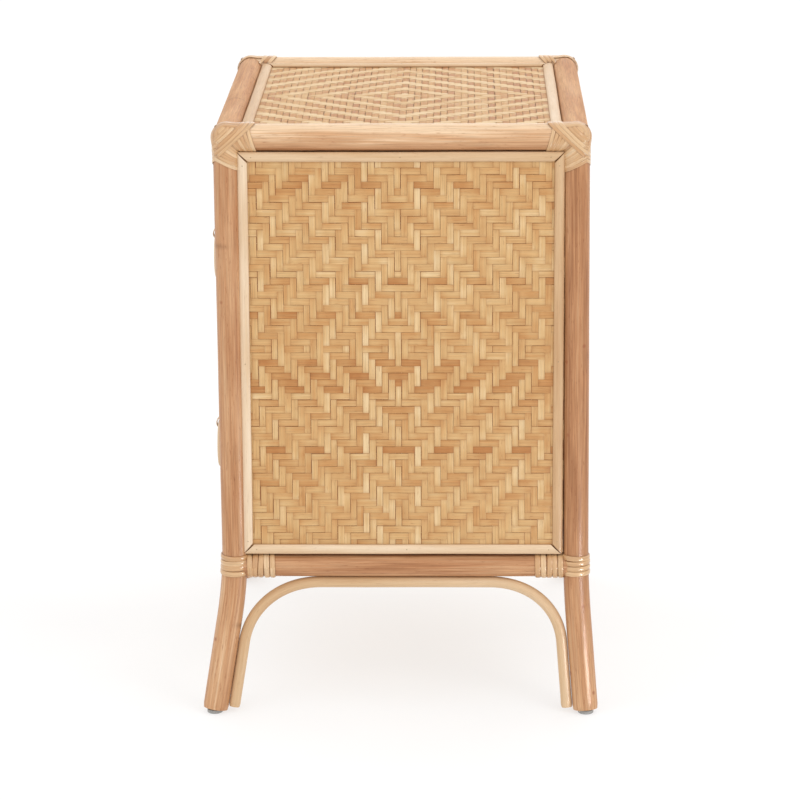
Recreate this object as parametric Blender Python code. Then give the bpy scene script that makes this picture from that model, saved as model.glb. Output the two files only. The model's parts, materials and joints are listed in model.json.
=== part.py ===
"""Rattan nightstand with two drawers, in metres, +Z up, front facing -Y.

The origin is on the floor, under the middle of the footprint. Four bent poles make the posts and
the flared legs. Round rails join them at the top and above the legs, and a bent arch braces each
side underneath. Boards faced with woven panels close the top, sides and back, and the two drawers
close the front. Each drawer has a ring that hangs in a strap.
"""

import math

import bmesh
import bpy
from mathutils import Matrix, Vector

# Whole cabinet, measured over the posts and rails
WIDTH = 0.485
DEPTH = 0.400
HEIGHT = 0.651

# Round poles
POST_R = 0.0139
TOP_RAIL_R = 0.0145
LOW_RAIL_R = 0.0123
LOW_RAIL_Z = 0.1627
ARCH_R = 0.0061
POLE_SIDES = 16
TOP_COPE = 0.0040
LOW_COPE = 0.0075

# Arches: where they leave the legs and turn level, and the lengths of their curve's handles
ARCH_STEPS = (0.0060, 0.0300, 0.0550)
ARCH_LEAVE = 0.0780
ARCH_LEVEL = 0.0800
ARCH_RISE = 0.0380
ARCH_RUN = 0.0440

# Legs: the outward slopes below the lower rails, and the height over which they build up
FLARE_TOP = 0.185
FLARE_EASE = 0.080
FRONT_SLOPE = 0.162
BACK_SLOPE = 0.080
SIDE_SLOPE = 0.137
POST_LEAN = 0.0025
GLIDE_R = 0.0085
GLIDE_H = 0.004

# Heights at which a post has a circle, and its rounded top as (drop from the top, share of radius)
POST_BENDS = (0.030, 0.060, 0.085, 0.105, 0.120, 0.135, 0.150, 0.165, 0.185, 0.360)
DOME_HEIGHT = 0.0085
DOME_STEPS = ((0.0045, 0.92), (0.0018, 0.74), (0.0005, 0.48))

# Clearance where pieces touch
GAP = 0.0003

# Panels: how far each layer sits inside the plane that touches the posts or rails
TRIM_CROWN = 0.0045
TRIM_BASE = 0.0082
WEAVE_FACE = 0.0085
WEAVE_THICK = 0.0010
BOARD_FACE = 0.0098
TRIM_WIDTH = 0.0108
TOP_TRIM_WIDTH = 0.0120
SIDE_BOARD = 0.0185
TOP_BOARD = 0.0090
BACK_BOARD = 0.0080
SHELF_BOARD = 0.0090
PANEL_LOW = 0.1774
PANEL_HIGH = 0.6220

# Edges of the frames, skins and boards: front and back ends on the sides, half sizes elsewhere
SIDE_FRAME = (-0.1745, 0.1735)
SIDE_SKIN = (-0.1690, 0.1710)
SIDE_CORE = (-0.1675, 0.1695)
BACK_FRAME = 0.2148
BACK_SKIN = 0.2140
BACK_CORE = 0.2120
TOP_FRAME = (0.2140, 0.1715)
TOP_CORE = (0.2108, 0.1682)
SKIN_MARGIN = 0.0010
CORE_MARGIN = 0.0026
SHELF_FRONT = -0.1688
SHELF_BACK = 0.1715
DUST_FRONT = -0.1665
DUST_DROP = 0.0015

# Peel bindings over the joints
BIND = 0.0021
CORNER_POST_LENGTH = 0.050
CORNER_RAIL_LENGTH = 0.031
LOW_BIND_HIGH = 0.1766
LOW_BIND_LOW = 0.1500
LOW_BIND_RAIL = 0.047
BORE_INSET = 0.003
SLEEVE_TWIST = 0.061
WINDOW_DEPTH = 0.0100
WINDOW_LOW = 0.4000

# Drawers
DRAWER_HALF = 0.2115
DRAWER_LOW = 0.1782
DRAWER_FRONT_H = 0.2190
DRAWER_SPACE = 0.0028
FRONT_BOARD = 0.0120
BOX_HALF = 0.2118
BOX_WALL = 0.0100
BOX_HIGH = 0.1500
BOX_BACK = 0.1500
BOX_BOTTOM = 0.0050
BOX_DROP = 0.0004
BOTTOM_RISE = 0.0020
DRAWER_SKIN_INSET = 0.0040

# Ring pulls
RING_R = 0.0240
RING_TUBE = 0.0052
RING_DROP = 0.0240
RING_OUT = 0.0105
STRAP_THICK = 0.0016
STRAP_WIDTH = 0.0090
STRAP_PLAY = 0.0012
STRAP_NECK = 0.0022
RIVET_R = 0.0030
RIVET_PROUD = 0.0062
RIVET_HEAD = 0.0042
RIVET_SIDES = 12

POST_X = WIDTH / 2 - POST_R
POST_Y = DEPTH / 2 - POST_R
RAIL_X = WIDTH / 2 - TOP_RAIL_R
RAIL_Y = DEPTH / 2 - TOP_RAIL_R
RAIL_Z = HEIGHT - TOP_RAIL_R
ARCH_Z = LOW_RAIL_Z - LOW_RAIL_R - ARCH_R - GAP
FULL_FLARE = FLARE_TOP - FLARE_EASE / 2
# The front legs flare further than the back ones, so the cabinet stands behind the footprint's middle.
CABINET_Y = (FRONT_SLOPE - BACK_SLOPE) * FULL_FLARE / 2 - POST_LEAN

SIDES = {"left": -1, "right": 1}
ENDS = {"front": -1, "back": 1}


def linear(red, green, blue):
    """A colour given as 0-255 screen values, in the linear values that a shader takes."""
    return [((value / 255 + 0.055) / 1.055) ** 2.4 for value in (red, green, blue)] + [1.0]


FINISHES = {
    "pole": (linear(203, 156, 114), 0.42),
    "core": (linear(232, 206, 170), 0.45),
    "peel": (linear(224, 190, 142), 0.34),
    "weave": (linear(216, 176, 122), 0.50),
    "plywood": (linear(214, 184, 142), 0.60),
    "glide": (linear(150, 150, 150), 0.55),
}


def material(name):
    """The shared material of one finish, made on first use."""
    found = bpy.data.materials.get(name)
    if found:
        return found
    colour, roughness = FINISHES[name]
    made = bpy.data.materials.new(name)
    made.use_nodes = True
    shader = made.node_tree.nodes["Principled BSDF"]
    shader.inputs["Base Color"].default_value = colour
    shader.inputs["Roughness"].default_value = roughness
    shader.inputs["Metallic"].default_value = 0.0
    made.diffuse_color = colour
    return made


def add_object(name, bm, finish, smooth=False):
    """Turns a bmesh in world coordinates into a named object."""
    bmesh.ops.recalc_face_normals(bm, faces=bm.faces)
    mesh = bpy.data.meshes.new(name)
    bm.to_mesh(mesh)
    bm.free()
    if smooth:
        mesh.shade_smooth()
        mesh.set_sharp_from_angle(angle=math.radians(40))
    made = bpy.data.objects.new(name, mesh)
    bpy.context.scene.collection.objects.link(made)
    if finish:
        mesh.materials.append(material(finish))
    return made


def as_cutter(made):
    made.hide_render = True
    made.display_type = "WIRE"
    return made


def boolean(target, other, operation):
    modifier = target.modifiers.new(other.name, "BOOLEAN")
    modifier.operation = operation
    modifier.solver = "EXACT"
    modifier.object = other


def box(name, low, high, finish):
    """A box between two corners, whose Y is counted from the cabinet's middle."""
    bm = bmesh.new()
    bmesh.ops.create_cube(bm, size=1.0)
    for vert in bm.verts:
        vert.co = Vector(
            (high[axis] if vert.co[axis] > 0 else low[axis]) + (CABINET_Y if axis == 1 else 0.0)
            for axis in range(3)
        )
    return add_object(name, bm, finish)


def bridge(bm, rings, closed=False):
    """Joins rings of vertices with quads, then caps the first and last, or joins them as well."""
    count = len(rings[0])
    pairs = list(zip(rings, rings[1:]))
    if closed:
        pairs.append((rings[-1], rings[0]))
    for one, two in pairs:
        for step in range(count):
            after = (step + 1) % count
            bm.faces.new((one[step], one[after], two[after], two[step]))
    if not closed:
        bm.faces.new(rings[0])
        bm.faces.new(rings[-1])


def stacked(name, levels, finish):
    """A round upright made of level circles, each given as x, y, z and radius."""
    bm = bmesh.new()
    rings = []
    for x, y, z, radius in levels:
        ring = []
        for step in range(POLE_SIDES):
            turn = 2 * math.pi * step / POLE_SIDES
            place = (x + radius * math.cos(turn), y + radius * math.sin(turn), z)
            ring.append(bm.verts.new(place))
        rings.append(ring)
    bridge(bm, rings)
    return add_object(name, bm, finish, smooth=True)


def rod(name, start, end, radius, finish, sides=POLE_SIDES, twist=0.0):
    """A straight round rod between two points. twist turns its facets about its centre line."""
    start, end = Vector(start), Vector(end)
    bm = bmesh.new()
    turn = (end - start).to_track_quat("Z", "X").to_matrix().to_4x4() @ Matrix.Rotation(twist, 4, "Z")
    bmesh.ops.create_cone(
        bm,
        cap_ends=True,
        segments=sides,
        radius1=radius,
        radius2=radius,
        depth=(end - start).length,
        matrix=Matrix.Translation((start + end) / 2) @ turn,
    )
    return add_object(name, bm, finish, smooth=True)


def flare(z):
    """How much leg height counts towards the outward slope at z: none above FLARE_TOP."""
    below = max(0.0, FLARE_TOP - z)
    if below < FLARE_EASE:
        return below * below / (2 * FLARE_EASE)
    return below - FLARE_EASE / 2


def post_centre(side, end, z):
    """The post's centre line at height z."""
    slope = FRONT_SLOPE if end < 0 else BACK_SLOPE
    lean = POST_LEAN * min(1.0, (HEIGHT - z) / (HEIGHT - LOW_RAIL_Z))
    x = side * (POST_X + SIDE_SLOPE * flare(z))
    y = end * (POST_Y + slope * flare(z)) + lean + CABINET_Y
    return x, y


def post_levels(side, end, extra=0.0, low=GLIDE_H + GAP):
    """The post's level circles from low to its rounded top, all grown by extra."""
    heights = [low] + [z for z in POST_BENDS if z > low] + [HEIGHT - DOME_HEIGHT]
    levels = [(*post_centre(side, end, z), z, POST_R + extra) for z in heights]
    top_x, top_y = post_centre(side, end, HEIGHT)
    for drop, share in DOME_STEPS:
        levels.append((top_x, top_y, HEIGHT - drop + extra, POST_R * share + extra))
    return levels


def post_joint(side, end, z):
    """The point where a rail's centre line meets the post."""
    x, y = post_centre(side, end, z)
    return Vector((x, y, z))


def make_posts():
    """Posts with their foot glides, and one cutter of each post for the pieces that fit round it."""
    cutters = {}
    for side_name, side in SIDES.items():
        for end_name, end in ENDS.items():
            stacked(f"post_{end_name}_{side_name}", post_levels(side, end), "pole")
            cutter = stacked(
                f"cutter_post_{end_name}_{side_name}", post_levels(side, end, extra=GAP), None
            )
            cutters[side, end] = as_cutter(cutter)
            x, y = post_centre(side, end, 0.0)
            rod(f"glide_{end_name}_{side_name}", (x, y, 0.0), (x, y, GLIDE_H), GLIDE_R, "glide")
    return cutters


def make_rails(posts):
    """Side rails are coped round the posts. Front and back rails stop short of the side rails."""
    levels = (("top", RAIL_Z, TOP_RAIL_R, TOP_COPE), ("bottom", LOW_RAIL_Z, LOW_RAIL_R, LOW_COPE))
    for level, z, radius, cope in levels:
        for side_name, side in SIDES.items():
            front, back = (post_joint(side, end, z) for end in (-1, 1))
            x = side * (RAIL_X if level == "top" else POST_X)
            start = (x, front.y + cope, z)
            end = (x, back.y - cope, z)
            made = rod(f"{level}_rail_{side_name}", start, end, radius, "pole")
            boolean(made, posts[side, -1], "DIFFERENCE")
            boolean(made, posts[side, 1], "DIFFERENCE")
        for end_name, end in ENDS.items():
            reach = (RAIL_X if level == "top" else POST_X) - radius - GAP
            y = end * RAIL_Y + CABINET_Y if level == "top" else post_joint(1, end, z).y
            made = rod(f"{level}_rail_{end_name}", (-reach, y, z), (reach, y, z), radius, "pole")
            boolean(made, posts[-1, end], "DIFFERENCE")
            boolean(made, posts[1, end], "DIFFERENCE")


def bezier(points, count):
    """Points along a cubic curve, with both ends."""
    a, b, c, d = (Vector(point) for point in points)
    found = []
    for step in range(count + 1):
        t = step / count
        s = 1 - t
        found.append(s**3 * a + 3 * s * s * t * b + 3 * s * t * t * c + t**3 * d)
    return found


def arch_half(centre, slope):
    """One half of an arch as (distance from the middle, height), from the foot to the straight top.

    centre gives the post centre's distance from the middle at a height. The arch follows the leg's
    inner face, leaves it at ARCH_LEAVE and bends over to run level under the rail.
    """
    beside = POST_R + ARCH_R + GAP
    foot = [(centre(z) - beside, z) for z in ARCH_STEPS]
    start = Vector((centre(ARCH_LEAVE) - beside, ARCH_LEAVE))
    end = Vector((centre(LOW_RAIL_Z) - POST_R - ARCH_LEVEL, ARCH_Z))
    rise = start + Vector((-slope, 1.0)).normalized() * ARCH_RISE
    bend = bezier((start, rise, end + Vector((ARCH_RUN, 0)), end), 8)
    return foot + [tuple(point) for point in bend]


def arch_curve(name, points):
    """A bent round brace through the points, with flat ends."""
    data = bpy.data.curves.new(name, "CURVE")
    data.dimensions = "3D"
    data.bevel_depth = ARCH_R
    data.bevel_resolution = 3
    data.use_fill_caps = True
    spline = data.splines.new("POLY")
    spline.points.add(len(points) - 1)
    for place, point in zip(spline.points, points):
        place.co = (*point, 1.0)
    data.materials.append(material("core"))
    made = bpy.data.objects.new(name, data)
    bpy.context.scene.collection.objects.link(made)


def make_arches():
    for side_name, side in SIDES.items():
        halves = []
        for end, slope in ((-1, FRONT_SLOPE), (1, BACK_SLOPE)):
            half = arch_half(lambda z, end=end: end * (post_centre(side, end, z)[1] - CABINET_Y), slope)
            halves.append(
                [(post_centre(side, end, z)[0], end * reach + CABINET_Y, z) for reach, z in half]
            )
        arch_curve(f"arch_{side_name}", halves[0] + halves[1][::-1])
    for end_name, end in ENDS.items():
        half = arch_half(lambda z, end=end: post_centre(1, end, z)[0], SIDE_SLOPE)
        path = [(-reach, post_centre(-1, end, z)[1], z) for reach, z in half]
        path += [(reach, post_centre(1, end, z)[1], z) for reach, z in half[::-1]]
        arch_curve(f"arch_{end_name}", path)


def face_point(face, u, v, out):
    """A point on one face of the cabinet: u and v lie in the face, out is its distance outward."""
    if face in SIDES:
        return Vector((SIDES[face] * out, u + CABINET_Y, v))
    if face in ENDS:
        return Vector((u, ENDS[face] * out + CABINET_Y, v))
    return Vector((u, v + CABINET_Y, out))


def trim_frame(name, face, low, high, plane, depth=TRIM_BASE, width=TRIM_WIDTH):
    """A mitred frame of half-round moulding. Its base lies at depth inside the plane."""
    base = plane - depth
    rise = depth - TRIM_CROWN
    steps = 6
    bm = bmesh.new()
    loops = []
    profile = [(0.0, 0.0)]
    for step in range(steps + 1):
        turn = math.pi * (1 - step / steps)
        across = width / 2 * (1 + math.cos(turn))
        profile.append((across, rise * (0.25 + 0.75 * math.sin(turn))))
    profile.append((width, 0.0))
    for across, up in profile:
        u0, v0 = low[0] + across, low[1] + across
        u1, v1 = high[0] - across, high[1] - across
        corners = ((u0, v0), (u1, v0), (u1, v1), (u0, v1))
        loops.append([bm.verts.new(face_point(face, u, v, base + up)) for u, v in corners])
    bridge(bm, loops, closed=True)
    return add_object(name, bm, "core", smooth=True)


def skin(face, low, high, plane):
    """The woven skin of one face, between two corners, inside the plane that touches the poles."""
    shift = Vector((0, CABINET_Y, 0))
    near = face_point(face, *low, plane - WEAVE_FACE - WEAVE_THICK) - shift
    far = face_point(face, *high, plane - WEAVE_FACE) - shift
    lowest = [min(near[axis], far[axis]) for axis in range(3)]
    highest = [max(near[axis], far[axis]) for axis in range(3)]
    box(f"{face}_weave", lowest, highest, "weave")


def clear_of_posts(trim, posts, corners):
    """Cuts the poles out of a frame that reaches behind them."""
    for corner in corners:
        boolean(trim, posts[corner], "DIFFERENCE")


def make_panels(posts):
    """Boards, woven skins and trims of the top, the sides and the back."""
    side_plane, back_plane = WIDTH / 2, DEPTH / 2
    skin_low, skin_high = PANEL_LOW + SKIN_MARGIN, PANEL_HIGH - SKIN_MARGIN
    core_high = PANEL_HIGH - CORE_MARGIN
    inner = side_plane - BOARD_FACE - SIDE_BOARD
    for side_name, side in SIDES.items():
        low_x, high_x = sorted((side * inner, side * (inner + SIDE_BOARD)))
        low = (low_x, SIDE_CORE[0], PANEL_LOW)
        box(f"{side_name}_board", low, (high_x, SIDE_CORE[1], core_high), "plywood")
        skin(side_name, (SIDE_SKIN[0], skin_low), (SIDE_SKIN[1], skin_high), side_plane)
        low, high = (SIDE_FRAME[0], PANEL_LOW), (SIDE_FRAME[1], PANEL_HIGH)
        trim = trim_frame(f"{side_name}_trim", side_name, low, high, side_plane)
        clear_of_posts(trim, posts, ((side, -1), (side, 1)))
    face = back_plane - BOARD_FACE
    low = (-BACK_CORE, face - BACK_BOARD, PANEL_LOW)
    box("back_board", low, (BACK_CORE, face, core_high), "plywood")
    skin("back", (-BACK_SKIN, skin_low), (BACK_SKIN, skin_high), back_plane)
    low, high = (-BACK_FRAME, PANEL_LOW), (BACK_FRAME, PANEL_HIGH)
    trim = trim_frame("back_trim", "back", low, high, back_plane)
    clear_of_posts(trim, posts, ((-1, 1), (1, 1)))
    half_x, half_y = TOP_CORE
    face = HEIGHT - BOARD_FACE
    box("top_board", (-half_x, -half_y, face - TOP_BOARD), (half_x, half_y, face), "plywood")
    # The top's skin ends inside its frame, so that things can stand on all of it.
    half_x, half_y = (half - TOP_TRIM_WIDTH - GAP for half in TOP_FRAME)
    skin("top", (-half_x, -half_y), (half_x, half_y), HEIGHT)
    half_x, half_y = TOP_FRAME
    depth = BOARD_FACE - GAP
    trim_frame("top_trim", "top", (-half_x, -half_y), (half_x, half_y), HEIGHT, depth, TOP_TRIM_WIDTH)
    shelf = inner - GAP
    low = (-shelf, SHELF_FRONT, PANEL_LOW - SHELF_BOARD)
    box("bottom_board", low, (shelf, SHELF_BACK, PANEL_LOW), "plywood")
    upper = DRAWER_LOW + DRAWER_FRONT_H + DRAWER_SPACE - DUST_DROP
    low = (-shelf, DUST_FRONT, upper - SHELF_BOARD)
    box("dust_board", low, (shelf, SHELF_BACK, upper), "plywood")


def sleeve_set(name, levels, rails, radius, length, cutters):
    """A binding round one joint: sleeves on the post and both rails, hollowed by the poles.

    levels are the post sleeve's circles, and rails the (start, direction) of each rail's sleeve.
    """
    made = stacked(name, levels, "peel")
    bores = []
    for number, (start, away) in enumerate(rails):
        stop = start + away * length
        tag = f"{name}_{'xy'[number]}"
        twist = SLEEVE_TWIST * (number + 1)
        sleeve = rod(f"sleeve_{tag}", start, stop, radius + BIND, None, twist=twist)
        boolean(made, as_cutter(sleeve), "UNION")
        near, far = start + away * BORE_INSET, stop + away * BORE_INSET
        bores.append(as_cutter(rod(f"bore_{tag}", near, far, radius + GAP, None)))
    for cutter in bores + cutters:
        boolean(made, cutter, "DIFFERENCE")


def binding_windows():
    """Cutters that keep the corner bindings out of the framed panels."""
    side_plane, back_plane = WIDTH / 2, DEPTH / 2
    half_x, half_y = (half + GAP for half in TOP_FRAME)
    front, back = SIDE_FRAME[0] - GAP, SIDE_FRAME[1] + GAP
    high, out = PANEL_HIGH + GAP, WINDOW_DEPTH
    reach = BACK_FRAME + GAP
    ends = {
        "top": ((-half_x, -half_y, HEIGHT - out), (half_x, half_y, HEIGHT + out)),
        "right": ((side_plane - out, front, WINDOW_LOW), (side_plane + out, back, high)),
        "left": ((-side_plane - out, front, WINDOW_LOW), (out - side_plane, back, high)),
        "back": ((-reach, back_plane - out, WINDOW_LOW), (reach, back_plane + out, high)),
    }
    return {face: as_cutter(box(f"window_{face}", low, high, None)) for face, (low, high) in ends.items()}


def make_bindings(posts):
    """Bindings of the top corners and of the lower joints."""
    windows = binding_windows()
    for side_name, side in SIDES.items():
        for end_name, end in ENDS.items():
            inward = (Vector((-side, 0, 0)), Vector((0, -end, 0)))
            corner = Vector((side * RAIL_X, end * RAIL_Y + CABINET_Y, RAIL_Z))
            cutters = [posts[side, end], windows["top"], windows[side_name]]
            if end > 0:
                cutters.append(windows["back"])
            sleeve_set(
                f"corner_binding_{end_name}_{side_name}",
                post_levels(side, end, BIND, low=HEIGHT - CORNER_POST_LENGTH),
                [(corner, away) for away in inward],
                TOP_RAIL_R,
                CORNER_RAIL_LENGTH,
                cutters,
            )
            heights = (LOW_BIND_LOW, LOW_RAIL_Z, LOW_BIND_HIGH)
            joint = post_joint(side, end, LOW_RAIL_Z)
            beside = Vector((side * POST_X, joint.y, LOW_RAIL_Z))
            sleeve_set(
                f"lower_binding_{end_name}_{side_name}",
                [(*post_centre(side, end, z), z, POST_R + BIND) for z in heights],
                list(zip((joint, beside), inward)),
                LOW_RAIL_R,
                LOW_BIND_RAIL,
                [posts[side, end]],
            )


def attach(made, carrier):
    """Parents an object built in world coordinates to an empty."""
    made.parent = carrier
    made.location -= carrier.location


def empty(name, place):
    made = bpy.data.objects.new(name, None)
    made.location = place
    bpy.context.scene.collection.objects.link(made)
    return made


def ring(name, centre):
    """A pull ring that hangs below its hinge axis. Its origin is on that axis."""
    bm = bmesh.new()
    major, minor = 24, 10
    rings = []
    for step in range(major):
        turn = 2 * math.pi * step / major
        loop = []
        for part in range(minor):
            roll = 2 * math.pi * part / minor
            reach = RING_R + RING_TUBE * math.cos(roll)
            spot = (reach * math.sin(turn), RING_TUBE * math.sin(roll), reach * math.cos(turn) - RING_R)
            loop.append(bm.verts.new(spot))
        rings.append(loop)
    bridge(bm, rings, closed=True)
    made = add_object(name, bm, "core", smooth=True)
    made.location = centre
    return made


def strap(name, low, high):
    """A flat strap looped round the ring at low and held by a rivet at high."""
    low_r = RING_TUBE + STRAP_PLAY + STRAP_THICK / 2
    away = high - low
    lean = math.atan2(away.y, away.z)
    swing = math.acos((low_r - STRAP_NECK) / away.length)
    bm = bmesh.new()
    rings = []
    spans = ((low, low_r, swing, 2 * math.pi - swing, 12), (high, STRAP_NECK, -swing, swing, 4))
    for centre, radius, first, last, count in spans:
        for step in range(count + 1):
            turn = first + (last - first) * step / count + lean
            toward = Vector((0, math.sin(turn), math.cos(turn)))
            loop = []
            for across, offset in ((-1, -1), (1, -1), (1, 1), (-1, 1)):
                spot = centre + toward * (radius + offset * STRAP_THICK / 2)
                loop.append(bm.verts.new(spot + Vector((across * STRAP_WIDTH / 2, 0, 0))))
            rings.append(loop)
    bridge(bm, rings, closed=True)
    made = add_object(name, bm, "peel", smooth=True)
    back = (0, -DEPTH / 2 + WEAVE_FACE - GAP + CABINET_Y, high.z)
    head = (0, high.y - RIVET_HEAD, high.z)
    rivet = as_cutter(rod(f"rivet_{name}", back, head, RIVET_R, None, RIVET_SIDES))
    boolean(made, rivet, "UNION")
    return made, rivet


def make_drawer(name, low):
    """One drawer with its woven front and its pull, from the underside of its front board."""
    front = -DEPTH / 2
    high = low + DRAWER_FRONT_H
    board = front + BOARD_FACE + GAP
    behind = board + FRONT_BOARD + GAP
    under = low - BOX_DROP
    slide = empty(f"{name}_drawer_slide", (0, front + CABINET_Y, (low + high) / 2))
    wall = BOX_HALF - BOX_WALL
    inset = DRAWER_SKIN_INSET
    parts = [
        box(
            f"{name}_drawer_front",
            (-DRAWER_HALF, board, low),
            (DRAWER_HALF, board + FRONT_BOARD, high),
            "plywood",
        ),
        box(
            f"{name}_drawer_weave",
            (inset - DRAWER_HALF, front + WEAVE_FACE, low + inset),
            (DRAWER_HALF - inset, front + WEAVE_FACE + WEAVE_THICK, high - inset),
            "weave",
        ),
        trim_frame(f"{name}_drawer_trim", "front", (-DRAWER_HALF, low), (DRAWER_HALF, high), -front),
    ]
    for side_name, side in SIDES.items():
        low_x, high_x = sorted((side * wall, side * BOX_HALF))
        parts.append(
            box(
                f"{name}_drawer_{side_name}_side",
                (low_x, behind, under),
                (high_x, BOX_BACK, under + BOX_HIGH),
                "plywood",
            )
        )
    back_low = (GAP - wall, BOX_BACK - BOX_WALL, under)
    parts.append(box(f"{name}_drawer_back", back_low, (wall - GAP, BOX_BACK, under + BOX_HIGH), "plywood"))
    floor = under + BOTTOM_RISE
    low_corner = (GAP - wall, behind, floor)
    high_corner = (wall - GAP, BOX_BACK - BOX_WALL - GAP, floor + BOX_BOTTOM)
    parts.append(box(f"{name}_drawer_bottom", low_corner, high_corner, "plywood"))
    rivet_at = Vector((0, front + WEAVE_FACE - RIVET_PROUD + CABINET_Y, (low + high) / 2))
    hinge_at = Vector((0, front - RING_OUT + CABINET_Y, rivet_at.z - RING_DROP))
    parts.extend(strap(f"{name}_pull_strap", hinge_at, rivet_at))
    parts.append(ring(f"{name}_pull_ring", hinge_at))
    for part in parts:
        attach(part, slide)


def main():
    for old in list(bpy.data.objects):
        bpy.data.objects.remove(old, do_unlink=True)
    posts = make_posts()
    make_rails(posts)
    make_arches()
    make_panels(posts)
    make_bindings(posts)
    make_drawer("lower", DRAWER_LOW)
    make_drawer("upper", DRAWER_LOW + DRAWER_FRONT_H + DRAWER_SPACE)


main()
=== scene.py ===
"""The looks of a rattan nightstand: bent poles, peel bindings, woven skins, mouldings and drawers.

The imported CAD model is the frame. Each CAD node is rebuilt here as one or more finer pieces in its
place. Lengths are in metres, unless a name says otherwise, and Z is up.
"""

import json
import math

import bmesh
import bpy
import numpy as np
from mathutils import Euler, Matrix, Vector

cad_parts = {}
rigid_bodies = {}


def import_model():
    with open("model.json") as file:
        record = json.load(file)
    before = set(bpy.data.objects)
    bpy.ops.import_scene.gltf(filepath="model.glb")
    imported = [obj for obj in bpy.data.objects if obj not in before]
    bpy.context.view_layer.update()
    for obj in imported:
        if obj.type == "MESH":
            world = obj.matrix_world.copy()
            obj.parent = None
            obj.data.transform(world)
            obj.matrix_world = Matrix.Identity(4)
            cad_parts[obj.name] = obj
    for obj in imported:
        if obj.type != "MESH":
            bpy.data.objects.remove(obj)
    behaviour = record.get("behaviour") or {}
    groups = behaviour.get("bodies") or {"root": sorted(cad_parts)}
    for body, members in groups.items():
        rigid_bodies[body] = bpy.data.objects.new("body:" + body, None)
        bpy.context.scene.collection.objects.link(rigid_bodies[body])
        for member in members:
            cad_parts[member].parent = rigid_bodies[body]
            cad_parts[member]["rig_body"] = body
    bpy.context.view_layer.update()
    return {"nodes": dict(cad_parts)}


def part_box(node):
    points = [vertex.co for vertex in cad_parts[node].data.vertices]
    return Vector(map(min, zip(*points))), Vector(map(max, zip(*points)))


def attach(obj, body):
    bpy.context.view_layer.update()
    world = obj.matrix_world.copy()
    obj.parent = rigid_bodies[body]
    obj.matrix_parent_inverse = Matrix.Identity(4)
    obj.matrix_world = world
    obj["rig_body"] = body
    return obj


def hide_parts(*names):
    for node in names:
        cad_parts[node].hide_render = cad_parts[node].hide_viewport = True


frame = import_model()

# The cabinet's driving dimensions, as in the CAD
WIDTH = 0.485
DEPTH = 0.400
HEIGHT = 0.651
POST_R = 0.0139
TOP_RAIL_R = 0.0145
LOW_RAIL_R = 0.0123
LOW_RAIL_Z = 0.1627
ARCH_R = 0.0061
FLARE_TOP = 0.185
FLARE_EASE = 0.080
FRONT_SLOPE = 0.162
BACK_SLOPE = 0.080
SIDE_SLOPE = 0.137
POST_LEAN = 0.0025
GLIDE_H = 0.004
GAP = 0.0003
TRIM_CROWN = 0.0045
TRIM_BASE = 0.0082
TRIM_WIDTH = 0.0108
TOP_TRIM_WIDTH = 0.0120
WEAVE_FACE = 0.0085
LOW_BIND_HIGH = 0.1766
RING_R = 0.0240
RING_TUBE = 0.0052
RING_DROP = 0.0240
POST_X = WIDTH / 2 - POST_R
POST_Y = DEPTH / 2 - POST_R
RAIL_X = WIDTH / 2 - TOP_RAIL_R
RAIL_Y = DEPTH / 2 - TOP_RAIL_R
RAIL_Z = HEIGHT - TOP_RAIL_R
ARCH_Z = LOW_RAIL_Z - LOW_RAIL_R - ARCH_R - GAP
FULL_FLARE = FLARE_TOP - FLARE_EASE / 2
CABINET_Y = (FRONT_SLOPE - BACK_SLOPE) * FULL_FLARE / 2 - POST_LEAN

MM = 0.001

# Poles: points round a thick and a thin one, how far an end is eased, a post's domed top, the
# spacing of growth scars, the tones of the rails, from 0 dark to 1 light, and how much light and
# shade are painted on the upper and lower sides of the side top rails
POLE_SIDES = 40
THIN_POLE_SIDES = 24
POLE_ROUNDING = 0.0006
DOME_Z = HEIGHT - 0.0105
DOME_RISE = 0.0100
POST_SCARS = 0.21
RAIL_SCARS = 0.16
ARCH_SCARS = 0.33
TOP_RAIL_TONE = 0.70
LOW_RAIL_TONE = 0.34
END_RAIL_DARKER = 0.19
SIDE_RAIL_TOP_LIGHT = 0.36

# Woven skins: the strips' pitch each way, thickness, rise and dip, how many they pass over, the
# height of the pattern's middle, and the share of strips that fill their place
WARP_PITCH = 0.0070
WEFT_PITCH = 0.00747
STRIP_THICK = 0.00030
STRIP_RISE = 0.00022
FLOAT = 3
WEAVE_HIGH = 0.4066
FULL_STRIP_SHARE = 0.75

# Mouldings: tones of their bars
BAR_TONES = (0.68, 0.24, 0.50, 0.70)
TOP_BAR_TONES = (0.40, 0.5, 0.66, 0.5)

# Bindings: the peel's thickness on corners and in turns, the step along a strip, how far the
# corners' wraps reach along each pole, how far the end rails run into them, and the lower
# windings, whose lower end on a post is above that of the CAD node
PEEL_THICK = 0.0006
TURN_THICK = 0.0014
PEEL_STEP = 0.0011
KNUCKLE_SIDE_RAIL = 0.0240
KNUCKLE_END_RAIL = 0.0065
KNUCKLE_POST = 0.0250
END_RAIL_INSET = 0.0095
LOW_BIND_LOW = 0.1535
TURN_WIDTH = 0.0062
POST_TURNS = 4
RAIL_TURNS = 5

# The camera, at the photograph's angle, with its roll in degrees
CAMERA_LENS_MM = 157.2
CAMERA_PLACE = (3.88045, 0.06577 + CABINET_Y, 1.29139)
CAMERA_AIM = (-0.96812, -0.01809, -0.24984)
CAMERA_ROLL = -0.27

SIDES = {"left": -1, "right": 1}
ENDS = {"front": -1, "back": 1}
CORNERS = [(side, SIDES[side], end, ENDS[end]) for side in SIDES for end in ENDS]


# ---------------------------------------------------------------- materials


def linear(red, green, blue):
    """A colour given as 0-255 screen values, in the linear values that a shader takes."""
    return [((value / 255 + 0.055) / 1.055) ** 2.4 for value in (red, green, blue)] + [1.0]


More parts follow.
